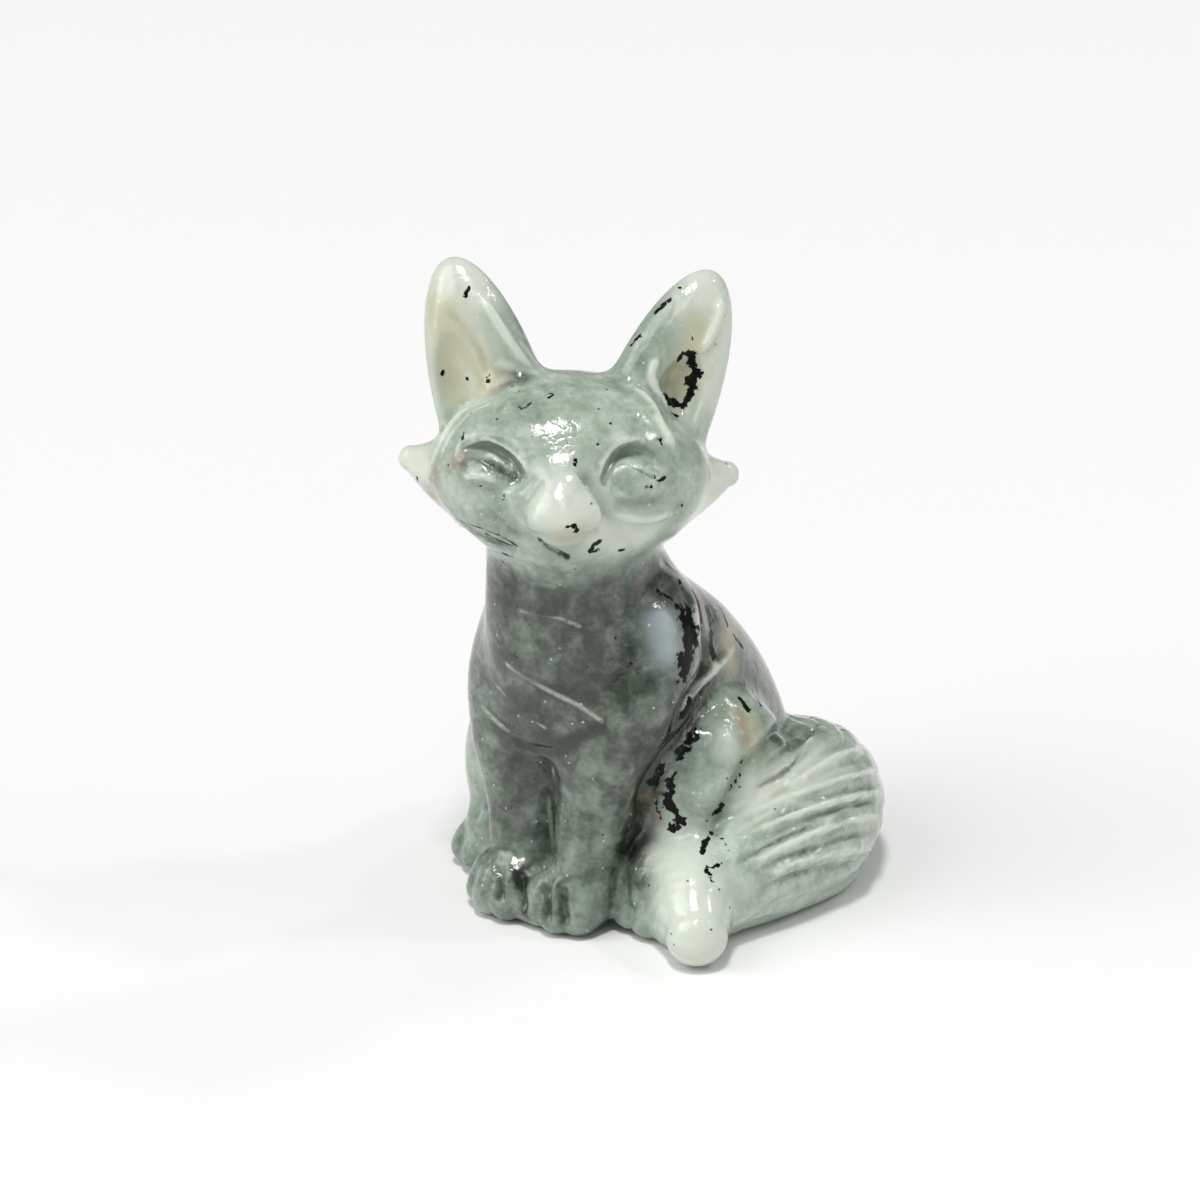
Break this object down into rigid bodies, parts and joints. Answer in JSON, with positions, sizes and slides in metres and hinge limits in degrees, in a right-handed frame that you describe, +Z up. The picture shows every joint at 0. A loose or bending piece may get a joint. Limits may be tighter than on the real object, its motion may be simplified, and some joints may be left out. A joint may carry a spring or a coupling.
{
  "type": "carved stone fox figurine",
  "caption": "Small fox carved from polished grey-green stone, sitting upright with its head turned, ears raised, eyes closed and tail curled round its side to the front paws",
  "frame": {"origin": "middle of the bounding box at floor level, under the fox", "axes": "+Z up, -Y the way the body faces, +X the fox's left, where its tail lies"},
  "size_m": [0.0336, 0.0364, 0.0528],
  "materials": {
    "grey_green_stone": "polished, cloudy grey-green stone with pale ears, muzzle and tail tip and black mineral specks"
  },
  "bodies": {
    "root": {"fox_carving": "grey_green_stone"}
  },
  "joints": []
}
